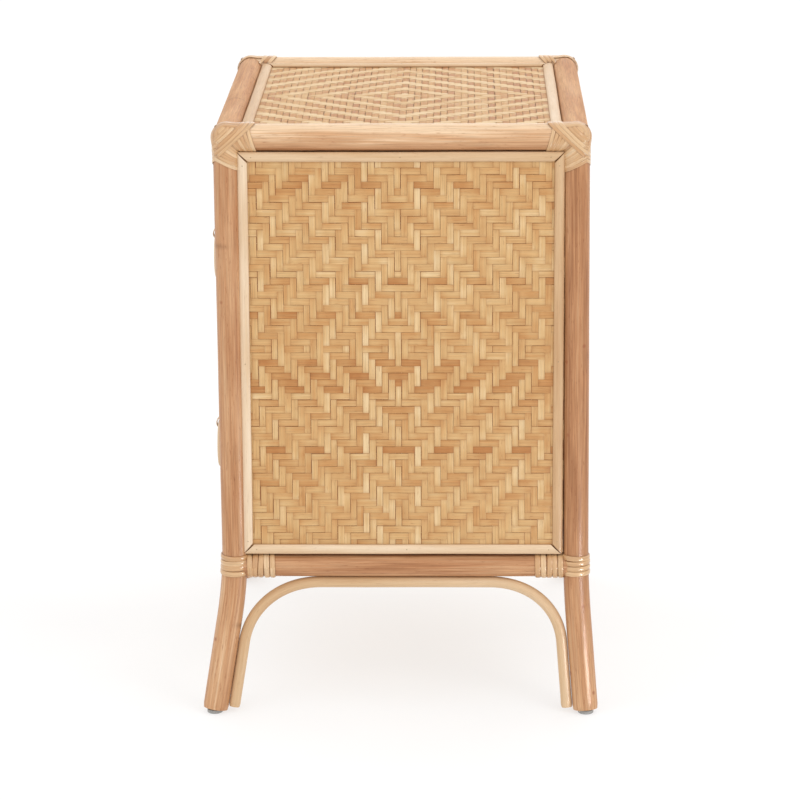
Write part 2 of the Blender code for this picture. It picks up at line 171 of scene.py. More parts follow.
def add_node(tree, kind, inputs=None, **settings):
    """Adds a node. inputs maps a socket's name or number to a value or to another node's output."""
    made = tree.nodes.new(kind)
    for name, value in settings.items():
        setattr(made, name, value)
    for name, value in (inputs or {}).items():
        if isinstance(value, bpy.types.NodeSocket):
            tree.links.new(value, made.inputs[name])
        else:
            made.inputs[name].default_value = value
    return made


def attribute(tree, name, output):
    return add_node(tree, "ShaderNodeAttribute", attribute_name=name).outputs[output]


def stretched(tree, vector, across, along):
    """The grain coordinate scaled across and along the fibres."""
    scale = {"Vector": vector, "Scale": (across, across, along)}
    return add_node(tree, "ShaderNodeMapping", scale, vector_type="POINT").outputs[0]


def noise(tree, vector, detail=3.0, roughness=0.55):
    inputs = {"Vector": vector, "Scale": 1.0, "Detail": detail, "Roughness": roughness}
    return add_node(tree, "ShaderNodeTexNoise", inputs).outputs["Fac"]


def ramp(tree, fac, stops):
    """A colour ramp through (place, colour) stops."""
    made = add_node(tree, "ShaderNodeValToRGB", {"Fac": fac})
    elements = made.color_ramp.elements
    while len(elements) < len(stops):
        elements.new(0.5)
    for element, (place, colour) in zip(elements, stops):
        element.position = place
        element.color = colour
    return made.outputs["Color"]


def grey(value):
    return (value, value, value, 1.0)


def blend_colour(tree, fac, one, two, mode="MIX"):
    made = add_node(tree, "ShaderNodeMix", data_type="RGBA", blend_type=mode)
    for socket, value in ((made.inputs[0], fac), (made.inputs[6], one), (made.inputs[7], two)):
        if isinstance(value, bpy.types.NodeSocket):
            tree.links.new(value, socket)
        else:
            socket.default_value = value
    return made.outputs[2]


def reckon(tree, operation, one, two=0.0, clamp=False):
    inputs = {0: one, 1: two}
    made = add_node(tree, "ShaderNodeMath", inputs, operation=operation, use_clamp=clamp)
    return made.outputs[0]


def scaled(tree, value, factor, offset):
    """value times factor plus offset, where offset may be another node's output."""
    inputs = {0: value, 1: factor, 2: offset}
    return add_node(tree, "ShaderNodeMath", inputs, operation="MULTIPLY_ADD").outputs[0]


def start_material(name):
    made = bpy.data.materials.new(name)
    made.use_nodes = True
    tree = made.node_tree
    return made, tree, tree.nodes["Principled BSDF"]


def bump(tree, shader, height, distance, strength=1.0):
    inputs = {"Height": height, "Distance": distance, "Strength": strength}
    made = add_node(tree, "ShaderNodeBump", inputs)
    tree.links.new(made.outputs[0], shader.inputs["Normal"])


def cane_material(name, colours, streak, roughness, coat, scars=0.0, fibre=0.5):
    """Varnished cane: broad tone drifts, lengthwise streaks, fine fibres, and scars and knots.

    colours go from dark to light. The tone attribute picks between them and the shade attribute
    paints shade into joints and into the gaps between parts. Scars and knots come only where scars isn't 0.
    """
    made, tree, shader = start_material(name)
    grain = attribute(tree, "grain", "Vector")
    tone = attribute(tree, "tone", "Fac")
    shade = attribute(tree, "shade", "Fac")
    broad = noise(tree, stretched(tree, grain, 75.0, 7.0), 3.0)
    streaks = noise(tree, stretched(tree, grain, 420.0, 9.0), 4.0, 0.6)
    fibres = noise(tree, stretched(tree, grain, 2100.0, 30.0), 2.0)
    flecks = noise(tree, stretched(tree, grain, 900.0, 110.0), 2.0)
    lightness = reckon(tree, "ADD", scaled(tree, broad, 0.9, -0.45), tone)
    streaked = scaled(tree, streaks, streak, -streak / 2)
    lightness = reckon(tree, "ADD", lightness, streaked, clamp=True)
    places = [step / (len(colours) - 1) for step in range(len(colours))]
    colour = ramp(tree, lightness, list(zip(places, colours)))
    fine = ramp(tree, fibres, [(0.30, grey(1.0 - 0.28 * fibre)), (0.62, grey(1.0))])
    colour = blend_colour(tree, 1.0, colour, fine, "MULTIPLY")
    dash = ramp(tree, flecks, [(0.62, grey(1.0)), (0.76, linear(176, 126, 88))])
    colour = blend_colour(tree, 0.55 * fibre, colour, dash, "MULTIPLY")
    if scars:
        knots = knot_mask(tree, grain)
        colour = blend_colour(tree, knots, colour, linear(150, 88, 56))
        shader.inputs["Specular IOR Level"].default_value = 0.25
        scar = attribute(tree, "scar", "Fac")
        mottled = reckon(tree, "MULTIPLY", scar, flecks)
        mottled = reckon(tree, "MULTIPLY", mottled, 1.6, clamp=True)
        colour = blend_colour(tree, mottled, colour, linear(126, 84, 54))
    # Painted shade: the shade attribute blends towards a darker copy of the colour
    deep = blend_colour(tree, 1.0, colour, linear(176, 132, 92), "MULTIPLY")
    colour = blend_colour(tree, shade, colour, deep)
    tree.links.new(colour, shader.inputs["Base Color"])
    rough = ramp(tree, streaks, [(0.3, grey(roughness - 0.07)), (0.7, grey(roughness + 0.09))])
    tree.links.new(rough, shader.inputs["Roughness"])
    shader.inputs["Coat Weight"].default_value = coat
    shader.inputs["Coat Roughness"].default_value = 0.22
    shader.inputs["IOR"].default_value = 1.45
    bump(tree, shader, scaled(tree, streaks, 0.6, fibres), 0.00012, 0.55)
    return made


def knot_mask(tree, grain):
    """Small knots, scattered sparsely over a pole: 1 on a knot, 0 elsewhere."""
    inputs = {"Vector": grain, "Scale": 42.0}
    cells = add_node(tree, "ShaderNodeTexVoronoi", inputs)
    spot = ramp(tree, cells.outputs["Distance"], [(0.045, grey(1.0)), (0.125, grey(0.0))])
    chosen = add_node(tree, "ShaderNodeSeparateColor", {0: cells.outputs["Color"]}).outputs[0]
    kept = reckon(tree, "GREATER_THAN", chosen, 0.5)
    return reckon(tree, "MULTIPLY", reckon(tree, "MULTIPLY", spot, kept), 0.72)


def plywood_material():
    """Pale plywood: lengthwise grain on the faces and a darker tone on the edges."""
    made, tree, shader = start_material("plywood")
    grain = attribute(tree, "grain", "Vector")
    tone = attribute(tree, "tone", "Fac")
    shade = attribute(tree, "shade", "Fac")
    broad = noise(tree, stretched(tree, grain, 26.0, 3.0), 4.0)
    rays = noise(tree, stretched(tree, grain, 620.0, 16.0), 3.0)
    bands = add_node(
        tree,
        "ShaderNodeTexWave",
        {"Vector": stretched(tree, grain, 9.0, 0.7), "Scale": 1.6, "Distortion": 7.0, "Detail": 2.0},
        wave_type="BANDS",
        bands_direction="Y",
    ).outputs["Fac"]
    figure = scaled(tree, bands, 0.25, broad)
    stops = [(0.28, linear(190, 148, 104)), (0.52, linear(216, 181, 137)), (0.85, linear(230, 202, 162))]
    colour = ramp(tree, figure, stops)
    fine = ramp(tree, rays, [(0.35, grey(0.84)), (0.62, grey(1.0))])
    colour = blend_colour(tree, 1.0, colour, fine, "MULTIPLY")
    plies = blend_colour(tree, 1.0, colour, linear(196, 152, 112), "MULTIPLY")
    colour = blend_colour(tree, tone, colour, plies)
    # Painted shade where the shade attribute is set; the boards leave it at 0
    deep = blend_colour(tree, 1.0, colour, linear(186, 146, 108), "MULTIPLY")
    colour = blend_colour(tree, shade, colour, deep)
    tree.links.new(colour, shader.inputs["Base Color"])
    rough = ramp(tree, rays, [(0.3, grey(0.50)), (0.7, grey(0.66))])
    tree.links.new(rough, shader.inputs["Roughness"])
    bump(tree, shader, rays, 0.00008, 0.5)
    return made


def plain_material(name, colour, roughness, metallic, speckle):
    """A cast or moulded finish with fine speckle and uneven gloss."""
    made, tree, shader = start_material(name)
    place = add_node(tree, "ShaderNodeTexCoord").outputs["Object"]
    spots = add_node(
        tree, "ShaderNodeTexNoise", {"Vector": place, "Scale": 1400.0, "Detail": 3.0}
    ).outputs["Fac"]
    low = [channel * (1 - speckle) for channel in colour[:3]] + [1.0]
    tree.links.new(ramp(tree, spots, [(0.35, low), (0.65, colour)]), shader.inputs["Base Color"])
    rough = ramp(tree, spots, [(0.3, grey(roughness - 0.08)), (0.7, grey(roughness + 0.08))])
    tree.links.new(rough, shader.inputs["Roughness"])
    shader.inputs["Metallic"].default_value = metallic
    bump(tree, shader, spots, 0.00005, 0.4)
    return made


MATERIALS = {
    "pole": cane_material(
        "rattan_pole",
        [linear(154, 100, 62), linear(188, 134, 92), linear(212, 166, 124), linear(236, 204, 168)],
        streak=1.0,
        roughness=0.42,
        coat=0.22,
        scars=1.0,
        fibre=1.0,
    ),
    "end_pole": cane_material(
        "rattan_pole_matt",
        [linear(152, 95, 54), linear(192, 136, 92), linear(216, 167, 122), linear(238, 204, 164)],
        streak=0.70,
        roughness=0.58,
        coat=0.0,
        scars=1.0,
        fibre=1.0,
    ),
    "core": cane_material(
        "rattan_core",
        [linear(188, 144, 100), linear(208, 172, 130), linear(220, 190, 154), linear(234, 212, 184)],
        streak=0.42,
        roughness=0.52,
        coat=0.12,
        fibre=0.45,
    ),
    "peel": cane_material(
        "peel_binding",
        [linear(172, 122, 74), linear(198, 150, 102), linear(214, 174, 128), linear(232, 202, 162)],
        streak=0.55,
        roughness=0.30,
        coat=0.55,
        fibre=0.75,
    ),
    "weave": cane_material(
        "woven_strips",
        [linear(180, 119, 62), linear(198, 146, 89), linear(212, 171, 116), linear(228, 197, 150)],
        streak=0.58,
        roughness=0.55,
        coat=0.0,
        fibre=0.75,
    ),
    "plywood": plywood_material(),
    "glide": plain_material("foot_glide", linear(158, 157, 154), 0.50, 0.0, 0.18),
    "nail": plain_material("nail_head", linear(176, 150, 118), 0.42, 0.6, 0.25),
}


# ---------------------------------------------------------------- mesh helpers


class Skin:
    """Collects swept tubes and strips for one mesh, with grain, tone, painted shade and scar per vertex."""

    def __init__(self):
        self.points, self.grain, self.tone, self.shade, self.scar, self.faces = [], [], [], [], [], []
        self.count = 0

    def add(self, points, faces, grain, tone=0.5, shade=0.0, scar=0.0):
        """Adds vertices with their attributes and faces that index them from 0."""
        number = len(points)
        self.points.append(points)
        self.grain.append(grain)
        for store, value in ((self.tone, tone), (self.shade, shade), (self.scar, scar)):
            store.append(np.broadcast_to(np.asarray(value, float), (number,)))
        self.faces.extend([tuple(int(corner) + self.count for corner in face) for face in faces])
        self.count += number

    def sweep(self, rings, grain, tone=0.5, shade=0.0, scar=0.0, closed=False):
        """Joins rings of points, as an array of (ring, point, xyz), into one closed body."""
        total, around = rings.shape[:2]
        ring = np.arange(total if closed else total - 1)[:, None] * around
        step = np.arange(around)[None, :]
        after = (step + 1) % around
        following = (ring + around) % (total * around)
        quads = np.stack([ring + step, following + step, following + after, ring + after], -1)
        faces = quads.reshape(-1, 4).tolist()
        if not closed:
            faces.append(list(range(around)))
            faces.append([(total - 1) * around + k for k in range(around)][::-1])
        spread = [
            np.broadcast_to(np.asarray(value, float), (total, around)).reshape(-1)
            for value in (tone, shade, scar)
        ]
        self.add(rings.reshape(-1, 3), faces, grain.reshape(-1, 3), *spread)

    def finish(self, name, nodes, finish, angle=40.0):
        """Makes the piece, which stands for the CAD nodes and rides on their body."""
        mesh = bpy.data.meshes.new(name)
        mesh.from_pydata(np.concatenate(self.points).tolist(), [], self.faces)
        for label, values in (("tone", self.tone), ("shade", self.shade), ("scar", self.scar)):
            layer = mesh.attributes.new(label, "FLOAT", "POINT")
            layer.data.foreach_set("value", np.concatenate(values).astype(np.float32))
        layer = mesh.attributes.new("grain", "FLOAT_VECTOR", "POINT")
        layer.data.foreach_set("vector", np.concatenate(self.grain).astype(np.float32).ravel())
        bm = bmesh.new()
        bm.from_mesh(mesh)
        bmesh.ops.recalc_face_normals(bm, faces=bm.faces)
        bm.to_mesh(mesh)
        bm.free()
        mesh.shade_smooth()
        mesh.set_sharp_from_angle(angle=math.radians(angle))
        mesh.materials.append(MATERIALS[finish])
        made = bpy.data.objects.new(name, mesh)
        bpy.context.scene.collection.objects.link(made)
        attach(made, frame["nodes"][nodes[0]]["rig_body"])
        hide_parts(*nodes)
        return made


def coordinates(shape, *parts):
    """Points from three parts, each of which is spread over shape."""
    return np.stack([np.broadcast_to(part, shape) for part in parts], -1)


def unit(vectors):
    return vectors / np.maximum(np.linalg.norm(vectors, axis=-1, keepdims=True), 1e-12)


def lengths_along(path):
    steps = np.linalg.norm(np.diff(path, axis=0), axis=1)
    return np.concatenate([[0.0], np.cumsum(steps)])


def waver(rng, places, size, wavelength):
    """A smooth wandering value along a path, within about size either way."""
    total = np.zeros_like(places)
    for octave in (1.0, 2.3, 4.7):
        turn = rng.uniform(0, 2 * math.pi)
        total += np.sin(places * 2 * math.pi * octave / wavelength + turn) / octave
    return total * size / 1.6


def tube(skin, path, radius, sides, up, rng, tone, scars=0.0, closed=False, rough=0.006, painted_top_light=0.0):
    """A round pole along a path, with a slightly uneven girth and, if asked, growth scars.

    The last argument paints light on its upper side and shade on its lower side, as light from above falls.
    """
    path = np.asarray(path, float)
    along = lengths_along(path)
    if closed:
        tangent = unit(np.roll(path, -1, 0) - np.roll(path, 1, 0))
    else:
        tangent = unit(np.gradient(path, axis=0))
    across = unit(np.cross(tangent, np.asarray(up, float)))
    lift = np.cross(across, tangent)
    turn = 2 * math.pi * np.arange(sides) / sides
    girth = np.broadcast_to(np.asarray(radius, float), along.shape) * (1 + waver(rng, along, rough, 0.23))
    scar = np.zeros_like(along)
    if scars:
        place = along[0] + rng.uniform(0.3, 0.9) * scars
        while place < along[-1]:
            near = np.exp(-(((along - place) / 0.0016) ** 2))
            girth = girth + 0.00012 * np.exp(-(((along - place) / 0.006) ** 2)) - 0.00006 * near
            scar = scar + near
            place += rng.uniform(0.75, 1.25) * scars
    if not closed:
        depth = np.minimum(along - along[0], along[-1] - along)
        girth = girth - POLE_ROUNDING * np.clip(1 - depth / POLE_ROUNDING, 0, 1)
    # Painted light on the upper side and painted shade on the lower side
    tone = np.asarray(tone, float).reshape(-1, 1) + painted_top_light * np.sin(turn)[None, :]
    ring = np.cos(turn)[None, :, None] * across[:, None, :] + np.sin(turn)[None, :, None] * lift[:, None, :]
    rings = path[:, None, :] + girth[:, None, None] * ring
    start = rng.uniform(0, 50)
    thickness = girth[:, None]
    section = np.cos(turn) * thickness, np.sin(turn) * thickness
    grain = coordinates(section[0].shape, *section, (along + start)[:, None])
    wander = rng.uniform(0, 6) + 9.0 * along[:, None]
    scar = scar[:, None] * np.clip(np.sin(turn[None, :] + wander) * 1.6 - 0.7, 0.06, 0.85)
    skin.sweep(rings, grain, tone, 0.0, scar, closed)


def strip(skin, path, normals, width, thick, rng, tone, closed=False, domed=True, shade=0.0):
    """A flat or domed strip that lies on a surface, given points on it and the surface normals."""
    path, normals = np.asarray(path, float), unit(np.asarray(normals, float))
    along = lengths_along(path)
    if closed:
        tangent = unit(np.roll(path, -1, 0) - np.roll(path, 1, 0))
    else:
        tangent = unit(np.gradient(path, axis=0))
    side = unit(np.cross(normals, tangent))
    half = np.broadcast_to(np.asarray(width, float), along.shape)[:, None] / 2
    if domed:
        across = np.array([-1.0, -0.84, -0.35, 0.35, 0.84, 1.0])
        rise = np.array([0.0, 0.66, 1.0, 1.0, 0.66, 0.0])
    else:
        across = np.array([-1.0, -0.965, 0.965, 1.0])
        rise = np.array([0.0, 1.0, 1.0, 0.0])
    spots = across[None, :] * half
    rings = path[:, None, :] + spots[..., None] * side[:, None, :]
    rings = rings + (rise * thick)[None, :, None] * normals[:, None, :]
    offset = rng.uniform(0, 40, 3)
    shape = rings.shape[:2]
    grain = coordinates(shape, spots + offset[0], rise * thick + offset[1], along[:, None] + offset[2])
    # Painted shade along both long edges of the strip, for the dark lines between neighbouring strips
    edge = np.where(rise == 0.0, 0.75 if domed else 0.35, 0.0)[None, :]
    shades = np.clip(np.asarray(shade, float).reshape(-1, 1) + edge, 0, 1)
    skin.sweep(rings, grain, tone, np.broadcast_to(shades, shape), 0.0, closed)


def crosswise(axis):
    """Two directions square to an axis and to each other."""
    helper = np.array([0.0, 0.0, 1.0]) if abs(axis[2]) < 0.9 else np.array([1.0, 0.0, 0.0])
    across = unit(np.cross(axis, helper))
    return across, np.cross(axis, across)


def nail(skin, place, out, radius):
    """A small domed nail head that faces along out."""
    out = np.asarray(out, float)
    across, lift = crosswise(out)
    turn = 2 * math.pi * np.arange(14) / 14
    ring = np.cos(turn)[:, None] * across + np.sin(turn)[:, None] * lift
    levels = ((1.0, -0.5), (1.0, 0.0), (0.86, 0.22), (0.5, 0.36), (0.15, 0.4))
    rings = np.stack([place + ring * radius * share + out * radius * rise for share, rise in levels])
    skin.sweep(rings, rings.copy())


# ---------------------------------------------------------------- poles


def flare(z):
    """How much leg height counts towards the outward slope at z: none above FLARE_TOP."""
    below = max(0.0, FLARE_TOP - z)
    if below < FLARE_EASE:
        return below * below / (2 * FLARE_EASE)
    return below - FLARE_EASE / 2


def post_centre(side, end, z):
    """The post's centre line at height z."""
    slope = FRONT_SLOPE if end < 0 else BACK_SLOPE
    lean = POST_LEAN * min(1.0, (HEIGHT - z) / (HEIGHT - LOW_RAIL_Z))
    x = side * (POST_X + SIDE_SLOPE * flare(z))
    y = end * (POST_Y + slope * flare(z)) + lean + CABINET_Y
    return x, y


def make_posts():
    for side_name, side, end_name, end in CORNERS:
        rng = np.random.default_rng(11 + 2 * (side > 0) + (end > 0))
        heights = np.linspace(GLIDE_H + GAP, DOME_Z, 150)
        path = [(*post_centre(side, end, z), z) for z in heights]
        radii = [POST_R] * len(path)
        top = post_centre(side, end, HEIGHT)
        for step in range(1, 9):
            turn = math.pi / 2 * step / 8.5
            path.append((*top, DOME_Z + DOME_RISE * math.sin(turn)))
            radii.append(POST_R * math.cos(turn) ** 0.75)
        z = np.array(path)[:, 2]
        tone = (0.30 if end > 0 else 0.42) + 0.16 * np.clip((0.15 - z) / 0.06, 0, 1)
        skin = Skin()
        tube(skin, path, radii, POLE_SIDES, (0, 1, 0), rng, tone, scars=POST_SCARS)
        skin.finish(f"post_{end_name}_{side_name}_cane", [f"post_{end_name}_{side_name}"], "pole")


def make_rails():
    """Side rails run along Y and end rails along X, each over the length of its CAD node.

    The top end rails reach further, into the corner's binding, which is short on them.
    """
    levels = (
        ("top", RAIL_Z, TOP_RAIL_R, TOP_RAIL_TONE),
        ("bottom", LOW_RAIL_Z, LOW_RAIL_R, LOW_RAIL_TONE),
    )
    for number, (level, z, radius, tone) in enumerate(levels):
        for place, axis in (("left", 1), ("right", 1), ("front", 0), ("back", 0)):
            name = f"{level}_rail_{place}"
            low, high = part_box(name)
            middle = (low + high) / 2
            rng = np.random.default_rng(40 + number * 4 + len(place))
            path = np.tile([middle.x, middle.y, z], (90, 1))
            end_rail = level == "top" and axis == 0
            hidden = END_RAIL_INSET if end_rail else 0.0
            path[:, axis] = np.linspace(low[axis] - hidden, high[axis] + hidden, 90)
            skin = Skin()
            # The side top rails get painted light on top and painted shade underneath
            painted_top_light = SIDE_RAIL_TOP_LIGHT if level == "top" and axis == 1 else 0.0
            scars = RAIL_SCARS if end_rail else 0.0
            shown = tone - END_RAIL_DARKER * end_rail
            tube(skin, path, radius, POLE_SIDES, (0, 0, 1), rng, shown, scars, painted_top_light=painted_top_light)
            skin.finish(f"{name}_cane", [name], "end_pole" if end_rail else "pole")


def bezier(points, count):
    """Points along a cubic curve, with both ends."""
    a, b, c, d = (np.asarray(point, float) for point in points)
    t = np.linspace(0, 1, count)[:, None]
    s = 1 - t
    return s**3 * a + 3 * s * s * t * b + 3 * s * t * t * c + t**3 * d


def arch_half(centre, slope):
    """Half an arch as (distance from the middle, height), from the foot to the level top."""
    leave_z, level_from = 0.078, 0.080
    beside = POST_R + ARCH_R + GAP
    heights = np.linspace(GLIDE_H + 0.002, leave_z - 0.002, 24)
    foot = np.array([(centre(z) - beside, z) for z in heights])
    start = np.array((centre(leave_z) - beside, leave_z))
    end = np.array((centre(LOW_RAIL_Z) - POST_R - level_from, ARCH_Z))
    rise = start + 0.038 * unit(np.array((-slope, 1.0)))
    return np.concatenate([foot, bezier((start, rise, end + (0.044, 0), end), 40)])


def make_arches():
    for number, (place, side) in enumerate(SIDES.items()):
        halves = []
        for end, slope in ((-1, FRONT_SLOPE), (1, BACK_SLOPE)):
            half = arch_half(lambda z, end=end: end * (post_centre(side, end, z)[1] - CABINET_Y), slope)
            halves.append([(post_centre(side, end, z)[0], end * reach + CABINET_Y, z) for reach, z in half])
        arch_cane(f"arch_{place}", halves[0], halves[1], (side, 0, 0), number)
    for number, (place, end) in enumerate(ENDS.items()):
        half = arch_half(lambda z, end=end: post_centre(1, end, z)[0], SIDE_SLOPE)
        left = [(-reach, post_centre(-1, end, z)[1], z) for reach, z in half]
        right = [(reach, post_centre(1, end, z)[1], z) for reach, z in half]
        arch_cane(f"arch_{place}", left, right, (0, end, 0), number + 2)


def arch_cane(name, one, two, up, number):
    """The bent brace through both halves, with an even spacing over its level top."""
    one, two = np.array(one), np.array(two)
    share = np.linspace(0, 1, 60)[1:-1, None]
    level = one[-1] * (1 - share) + two[-1] * share
    path = np.concatenate([one, level, two[::-1]])
    skin = Skin()
    rng = np.random.default_rng(60 + number)
    tube(skin, path, ARCH_R, THIN_POLE_SIDES, up, rng, 0.42, scars=ARCH_SCARS, rough=0.012)
    skin.finish(f"{name}_cane", [name], "core")


# ---------------------------------------------------------------- woven skins


def face_point(face, u, v, out):
    """Points on one face of the cabinet: u and v lie in the face, out is the distance outward."""
    u, v, out = np.broadcast_arrays(*(np.asarray(value, float) for value in (u, v, out)))
    if face in SIDES:
        return np.stack([SIDES[face] * out, u + CABINET_Y, v], -1)
    if face in ENDS:
        return np.stack([u, ENDS[face] * out + CABINET_Y, v], -1)
    return np.stack([u, v + CABINET_Y, out], -1)


def face_frame(face):
    """The two axes that lie in a face, and how far the cabinet stands from 0 along each."""
    axes = (1, 2) if face in SIDES else (0, 2) if face in ENDS else (0, 1)
    return axes, [CABINET_Y if axis == 1 else 0.0 for axis in axes]


def weave(node, face, plane, centre, seed, dark_rows=(), tones=(0.62, 0.50), tuck=0.0, rise=STRIP_RISE):
    """A point twill of flat strips over the CAD skin's area, as upright and as crossing strips.

    A crossing strip lies on top where the count of strips from the centre, both ways, falls in the
    second half of each repeat. dark_rows holds the first and last crossing strip of each darker
    band. tones are those of upright and crossing strips. tuck is how far they run under the trim.
    """
    low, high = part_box(node)
    axes, shifts = face_frame(face)
    edges = [(low[axis] - shift - tuck, high[axis] - shift + tuck) for axis, shift in zip(axes, shifts)]
    rng = np.random.default_rng(seed)
    pitches = (WARP_PITCH, WEFT_PITCH)
    counts = [
        np.arange(
            math.ceil((edges[way][0] - centre[way]) / pitches[way] - 0.2),
            math.floor((edges[way][1] - centre[way]) / pitches[way] + 0.2) + 1,
        )
        for way in (0, 1)
    ]
    middle = plane - WEAVE_FACE - rise - STRIP_THICK
    for way, label in ((0, "warp"), (1, "weft")):
        skin = Skin()
        other = 1 - way
        first, last = edges[other]
        for number in counts[way]:
            far = counts[other]
            crossing_on_top = (np.abs(number) + np.abs(far)) % (2 * FLOAT) >= FLOAT
            over = ~crossing_on_top if way == 0 else crossing_on_top
            height = np.where(over, 1.0, -1.0)
            before = np.concatenate([[height[0]], height[:-1]])
            after = np.concatenate([height[1:], [height[-1]]])
            spots = centre[other] + far * pitches[other]
            places, rises = [], []
            for offset, neighbour in ((-0.45, before), (0.0, None), (0.45, after)):
                places.append(spots + offset * pitches[other])
                if neighbour is None:
                    rises.append(height * 1.12)
                else:
                    rises.append(np.where(neighbour == height, height * 1.05, height * 0.55))
            places = np.clip(np.stack(places, 1).ravel(), first, last)
            rises = np.stack(rises, 1).ravel()
            keep = np.concatenate([[True], np.diff(places) > 1e-5])
            places, rises = places[keep], rises[keep]
            wander = waver(rng, places, 0.00022, 0.31)
            line = centre[way] + number * pitches[way] + wander + rng.normal(0, 0.00012)
            full = rng.random() < FULL_STRIP_SHARE
            width = pitches[way] * (rng.uniform(0.95, 1.0) if full else rng.uniform(0.87, 0.93))
            depth = middle + rises * rise
            u, v = (line, places) if way == 0 else (places, line)
            path = face_point(face, u, v, depth)
            normal = np.tile(face_point(face, 0, 0, 1.0) - face_point(face, 0, 0, 0.0), (len(places), 1))
            if way == 0:
                tone = np.clip(rng.normal(tones[0], 0.075), 0.3, 0.95)
                tone += 0.12 * (rng.random() < 0.14)
            else:
                tone = np.clip(rng.normal(tones[1], 0.085), 0.12, 0.85)
                tone -= 0.16 * (rng.random() < 0.05)
                for start, stop in dark_rows:
                    tone -= 0.30 * (start <= number <= stop)
            tone = (tone + waver(rng, places, 0.13, 0.055))[:, None]
            # Painted shade where a strip runs under crossing strips, and a little on its slopes into them
            under_shade = np.where(rises > 0.9, 0.0, np.where(rises > 0, 0.14, 0.85))
            strip(skin, path, normal, width, STRIP_THICK, rng, tone, domed=False, shade=under_shade)
        skin.finish(f"{node}_{label}", [node], "weave", angle=30.0)


def moulding(node, face, low, high, base, width, seed, tones=BAR_TONES):
    """Four half-round bars with nails round a woven skin. Their mitres stand a little open inside."""
    rng = np.random.default_rng(seed)
    rise = TRIM_BASE - TRIM_CROWN
    skin = Skin()
    turn = math.pi * (1 - np.arange(15) / 14)
    across = np.concatenate([[0.0], width / 2 * (1 + np.cos(turn)), [width]])
    up = np.concatenate([[0.0], rise * (0.22 + 0.78 * np.sin(turn)), [0.0]])
    corners = [(low[0], low[1]), (high[0], low[1]), (high[0], high[1]), (low[0], high[1])]
    nails = []
    for number in range(4):
        start, stop = np.array(corners[number]), np.array(corners[(number + 1) % 4])
        ahead = unit(stop - start)
        inward = np.array([-ahead[1], ahead[0]])
        length = np.linalg.norm(stop - start)
        gaps = rng.uniform((0.00005, 0.0007), (0.0002, 0.0017), (2, 2))
        inside = across / width
        steps = np.concatenate([[0.0, 0.0014], np.linspace(0, 1, 60)[1:-1], [0.9986, 1.0]])
        rings = []
        for share in steps:
            begin = across + gaps[0, 0] * (1 - inside) + gaps[0, 1] * inside
            finish = length - across - gaps[1, 0] * (1 - inside) - gaps[1, 1] * inside
            reach = begin * (1 - share) + finish * share
            sway = waver(np.random.default_rng(seed + number), reach, 0.00016, 0.27)
            spots = start + reach[:, None] * ahead + (across + sway)[:, None] * inward
            rings.append(face_point(face, spots[:, 0], spots[:, 1], base + up))
        rings = np.stack(rings)
        along = steps[:, None] * length + rng.uniform(0, 30)
        shape = rings.shape[:2]
        grain = coordinates(shape, across, up, along)
        # Painted shade low on the bar's sides where it meets the skin, and full painted shade on the end
        # rings, darkening the open mitres
        shade = np.clip(0.85 - up / rise * 1.6, 0, 1)
        shades = np.broadcast_to(shade[None, :], shape).copy()
        shades[[0, -1]] = 1.0
        skin.sweep(rings, grain, tones[number] + rng.normal(0, 0.04), shades)
        for place in (0.03, 0.5, 0.97):
            reach = length * (place + rng.uniform(-0.02, 0.02))
            reach = min(max(reach, width + 0.004), length - width - 0.004)
            spot = start + reach * ahead + width * 0.52 * inward
            nails.append(face_point(face, spot[0], spot[1], base + rise))
    skin.finish(f"{node}_moulding", [node], "core")
    pins = Skin()
    out = face_point(face, 0, 0, 1.0) - face_point(face, 0, 0, 0.0)
    for place in nails:
        nail(pins, place, out, 0.0006)
    pins.finish(f"{node}_nails", [node], "nail")


def trim_box(node, face):
    """The low and high corner of a trim frame in its own face, from its CAD node."""
    low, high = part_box(node)
    axes, shifts = face_frame(face)
    return [[corner[axis] - shift for axis, shift in zip(axes, shifts)] for corner in (low, high)]


def make_panels():
    side_plane, back_plane = WIDTH / 2, DEPTH / 2
    high = WEAVE_HIGH
    for number, side_name in enumerate(SIDES):
        centre = (-0.0041, high)
        dark_rows = ((-6, -2), (-15, -15), (24, 24))
        weave(f"{side_name}_weave", side_name, side_plane, centre, 101 + number, dark_rows)
        low, top = trim_box(f"{side_name}_trim", side_name)
        moulding(f"{side_name}_trim", side_name, low, top, side_plane - TRIM_BASE, TRIM_WIDTH, 201 + number)
    weave("back_weave", "back", back_plane, (0.0, high), 103, ((-9, -7), (12, 13)))
    low, top = trim_box("back_trim", "back")
    moulding("back_trim", "back", low, top, back_plane - TRIM_BASE, TRIM_WIDTH, 203)
    centre, tones = (0.0, 0.0), (0.84, 0.26)
    weave("top_weave", "top", HEIGHT, centre, 104, tones=tones, tuck=0.0035, rise=0.0005)
    low, top = trim_box("top_trim", "top")
    moulding("top_trim", "top", low, top, HEIGHT - TRIM_BASE, TOP_TRIM_WIDTH, 204, TOP_BAR_TONES)
    for number, drawer in enumerate(("lower", "upper")):
        low, top = trim_box(f"{drawer}_drawer_trim", "front")
        middle = (low[1] + top[1]) / 2
        weave(f"{drawer}_drawer_weave", "front", DEPTH / 2, (0.0, middle), 105 + number, ((4, 5),))
        base = DEPTH / 2 - TRIM_BASE
        moulding(f"{drawer}_drawer_trim", "front", low, top, base, TRIM_WIDTH, 205 + number)


# ---------------------------------------------------------------- bindings


